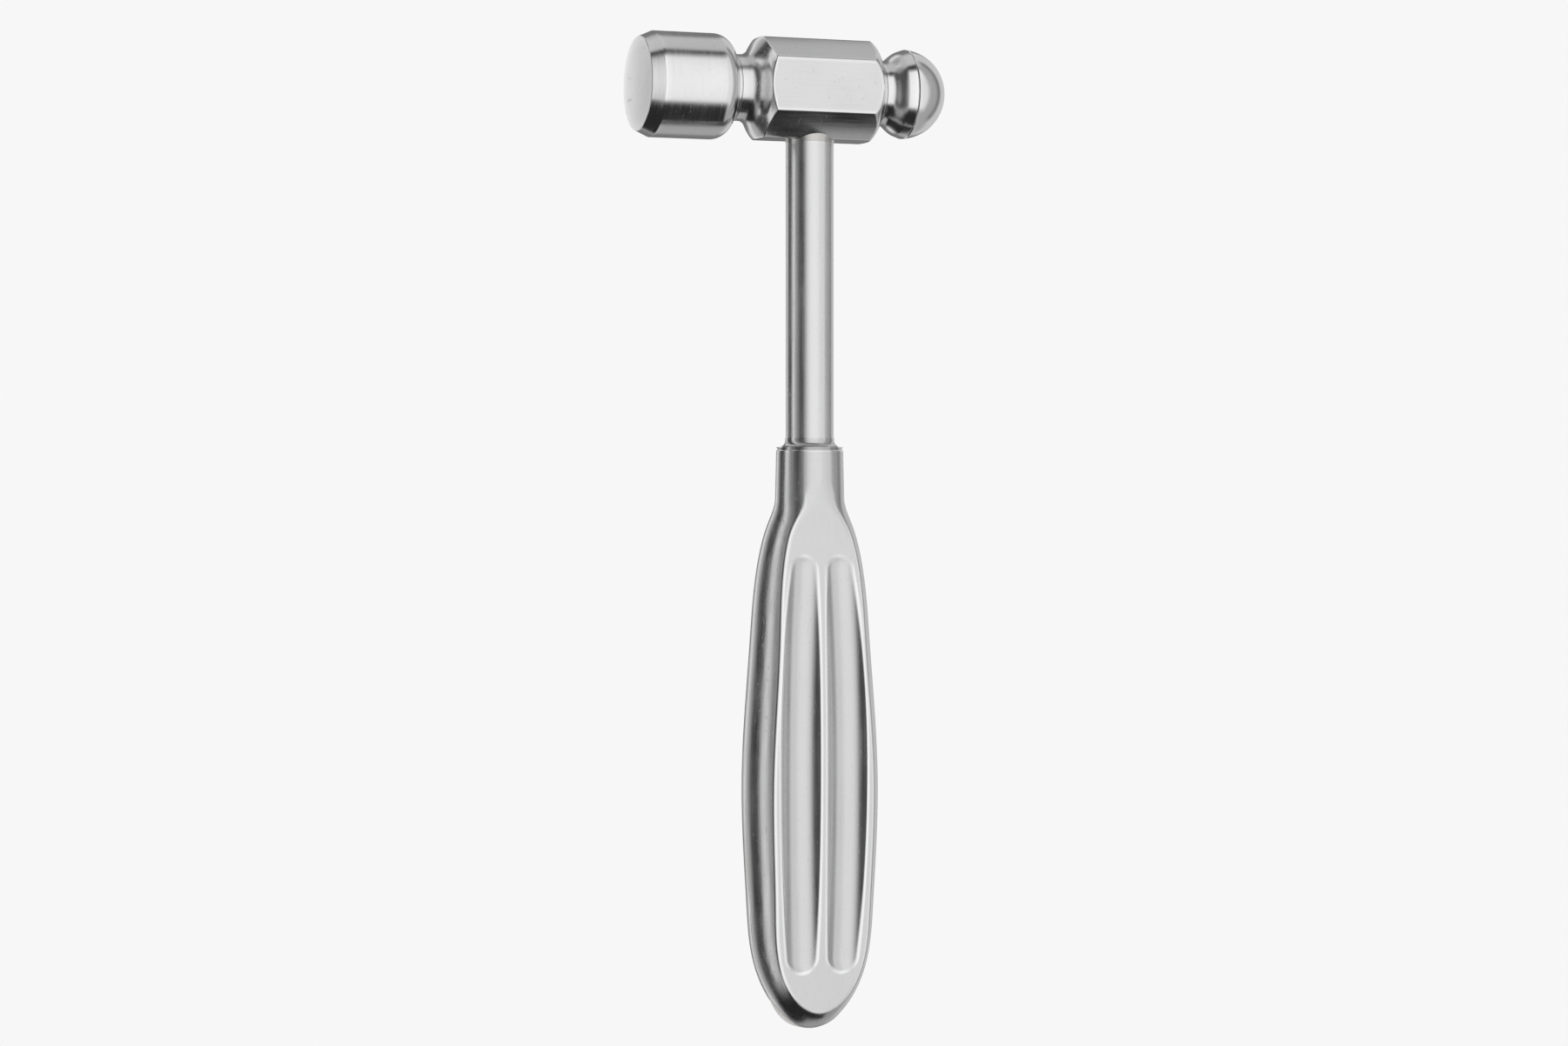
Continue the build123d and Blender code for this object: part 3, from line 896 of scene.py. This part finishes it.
# The studio's panels and flags, later ones over earlier ones. Each is a stretch in degrees, the
# softness of its two edges, and a brightness. Round the hammer, degrees are to the right of the
# camera; over and under it, they are the turn about the head's length, up from the front.
OVER_AND_UNDER = [
    ((-45, 57), (9, 6), 1.0),
    ((55, 76), (6, 5), 0.06),         # a thin flag overhead draws a line along the drum
    ((78, 120), (5, 8), 0.6),
    ((120, 181), (10, 1), 0.33),
    ((-181, -45), (1, 9), 0.45),      # light from the floor
]
# Dark flags under the hammer. Each also has a reach to -X and +X, as a share, and its softness.
UNDER_FLAGS = [
    (((-103, -45), (7, 9), 0.025), (-0.5, 0.46), (0.1, 0.06)),
    (((-140, -60), (8, 9), 0.025), (-0.65, 0.0), (0.1, 0.08)),
]
ROUND_ABOUT = [
    ((-14, 60), (23, 26), 1.1),       # the key panel
    ((52, 80), (20, 7), 0.92),
    ((-57, -22), (5, 12), 0.08),      # a dark flag beside the camera
    ((-76, -56), (4, 5), 0.3),
    ((-94, -76), (3, 3), 1.0),
    ((-126, -94), (6, 3), 0.06),
    ((-150, -126), (6, 6), 0.55),
    ((-160, -143), (6, 4), 1.05),     # lights the striking face from behind
    ((-181, -154), (1, 6), 0.2),      # dark behind the hammer, to draw its outline
    ((82, 112), (6, 8), 0.45),
    ((112, 128), (8, 8), 0.2),
    ((128, 150), (8, 8), 0.7),
    ((150, 181), (8, 1), 0.7),
    ((167, 181), (6, 1), 0.22),
]
ROUND_HEIGHT = (-36, 56)  # the stretch above and below the horizon that the round panels fill
ROUND_SOFT = (7, 8)


def stretch_mask(tree, value, limits, soft):
    """1 between two limits and 0 outside them, with soft edges."""
    start, end = limits
    rise = scaled(tree, value, start - soft[0], start + soft[0], 0, 1, "SMOOTHSTEP")
    fall = scaled(tree, value, end - soft[1], end + soft[1], 1, 0, "SMOOTHSTEP")
    return math_node(tree, "MULTIPLY", rise, fall)


def blended(tree, share, below, above):
    """One value or socket laid over another."""
    mix = node_in(tree, "ShaderNodeMix", data_type="FLOAT")
    feed(tree, mix.inputs["Factor"], share)
    feed(tree, mix.inputs["A"], below)
    feed(tree, mix.inputs["B"], above)
    return mix.outputs["Result"]


def panels(tree, turn, stretches, level):
    """The brightness after a row of panels is laid over a level."""
    for limits, soft, brightness in stretches:
        level = blended(tree, stretch_mask(tree, turn, limits, soft), level, brightness)
    return level


def make_world():
    """A soft studio: a large key panel, dark flags that draw the metal's form, a pale backdrop."""
    world = bpy.data.worlds.new("studio")
    bpy.context.scene.world = world
    world.use_nodes = True
    tree = world.node_tree
    link = tree.links.new
    way = node_in(tree, "ShaderNodeTexCoord").outputs["Generated"]

    def along(axis):
        dot = node_in(tree, "ShaderNodeVectorMath", operation="DOT_PRODUCT")
        link(way, dot.inputs[0])
        dot.inputs[1].default_value = axis
        return dot.outputs["Value"]

    back, right = along(view_back()), along(view_right())
    up, front, side = along((0, 0, 1)), along((0, -1, 0)), along((1, 0, 0))
    turn = math_node(tree, "DEGREES", math_node(tree, "ARCTAN2", right, back))
    lift = math_node(tree, "DEGREES", math_node(tree, "ARCSINE", up))
    pitch = math_node(tree, "DEGREES", math_node(tree, "ARCTAN2", up, front))
    level = panels(tree, pitch, OVER_AND_UNDER, STUDIO_BASE)
    for flag, reach, soft in UNDER_FLAGS:
        flagged = panels(tree, pitch, [flag], level)
        level = blended(tree, stretch_mask(tree, side, reach, soft), level, flagged)
    around = panels(tree, turn, ROUND_ABOUT, STUDIO_BASE)
    level = blended(tree, stretch_mask(tree, lift, ROUND_HEIGHT, ROUND_SOFT), level, around)
    seen = node_in(tree, "ShaderNodeLightPath").outputs["Is Camera Ray"]
    link(blended(tree, seen, level, BACKDROP), tree.nodes["Background"].inputs["Color"])
    bpy.context.scene.view_settings.view_transform = "Standard"


FLOOR_Z = -0.15
FLOOR_TONES = ((0.88, 0.88, 0.875, 1), (0.92, 0.92, 0.915, 1))
FLOOR_GRAIN = 60.0
FLOOR_GLOW = 0.42         # lifts the floor to the backdrop's brightness
FLOOR_FADE = (0.36, 0.6)  # the floor is whole inside the first radius and gone by the second


def make_floor():
    """A pale round floor below the hammer, which melts into the backdrop at its rim."""
    mesh = bpy.data.meshes.new("floor")
    shape = bmesh.new()
    bmesh.ops.create_circle(shape, cap_ends=True, segments=128, radius=FLOOR_FADE[1])
    shape.to_mesh(mesh)
    shape.free()
    floor = bpy.data.objects.new("floor", mesh)
    floor.location.z = FLOOR_Z
    floor.visible_glossy = False
    bpy.context.scene.collection.objects.link(floor)
    material = bpy.data.materials.new("floor")
    material.use_nodes = True
    tree = material.node_tree
    link = tree.links.new
    shader = tree.nodes["Principled BSDF"]
    shader.inputs["Roughness"].default_value = 0.8
    shader.inputs["Specular IOR Level"].default_value = 0.1
    shader.inputs["Emission Strength"].default_value = FLOOR_GLOW
    shader.inputs["Emission Color"].default_value = (1, 1, 1, 1)
    place = node_in(tree, "ShaderNodeTexCoord").outputs["Object"]
    grain = scaled(tree, noise(tree, place, FLOOR_GRAIN, 4.0, 0.55), *NOISE_SPREAD, 0, 1)
    link(mixed_color(tree, grain, *FLOOR_TONES), shader.inputs["Base Color"])
    reach = node_in(tree, "ShaderNodeVectorMath", operation="LENGTH")
    link(place, reach.inputs[0])
    link(scaled(tree, reach.outputs["Value"], *FLOOR_FADE, 1, 0), shader.inputs["Alpha"])
    mesh.materials.append(material)


make_drum()
make_ball()
make_block()
make_shaft()
make_ferrule()
make_shell("handle_front", "handle_front_shell", 1)
make_shell("handle_rear", "handle_rear_shell", -1)
for node, material in (
    ("handle_seam_braze", brazed),
    ("head_braze_ring", brazed),
    ("head_pin", inner),
    ("tang_nut", inner),
    ("tang_washer", inner),
):
    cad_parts[node].material_slots[0].material = material
make_camera()
make_floor()
make_world()
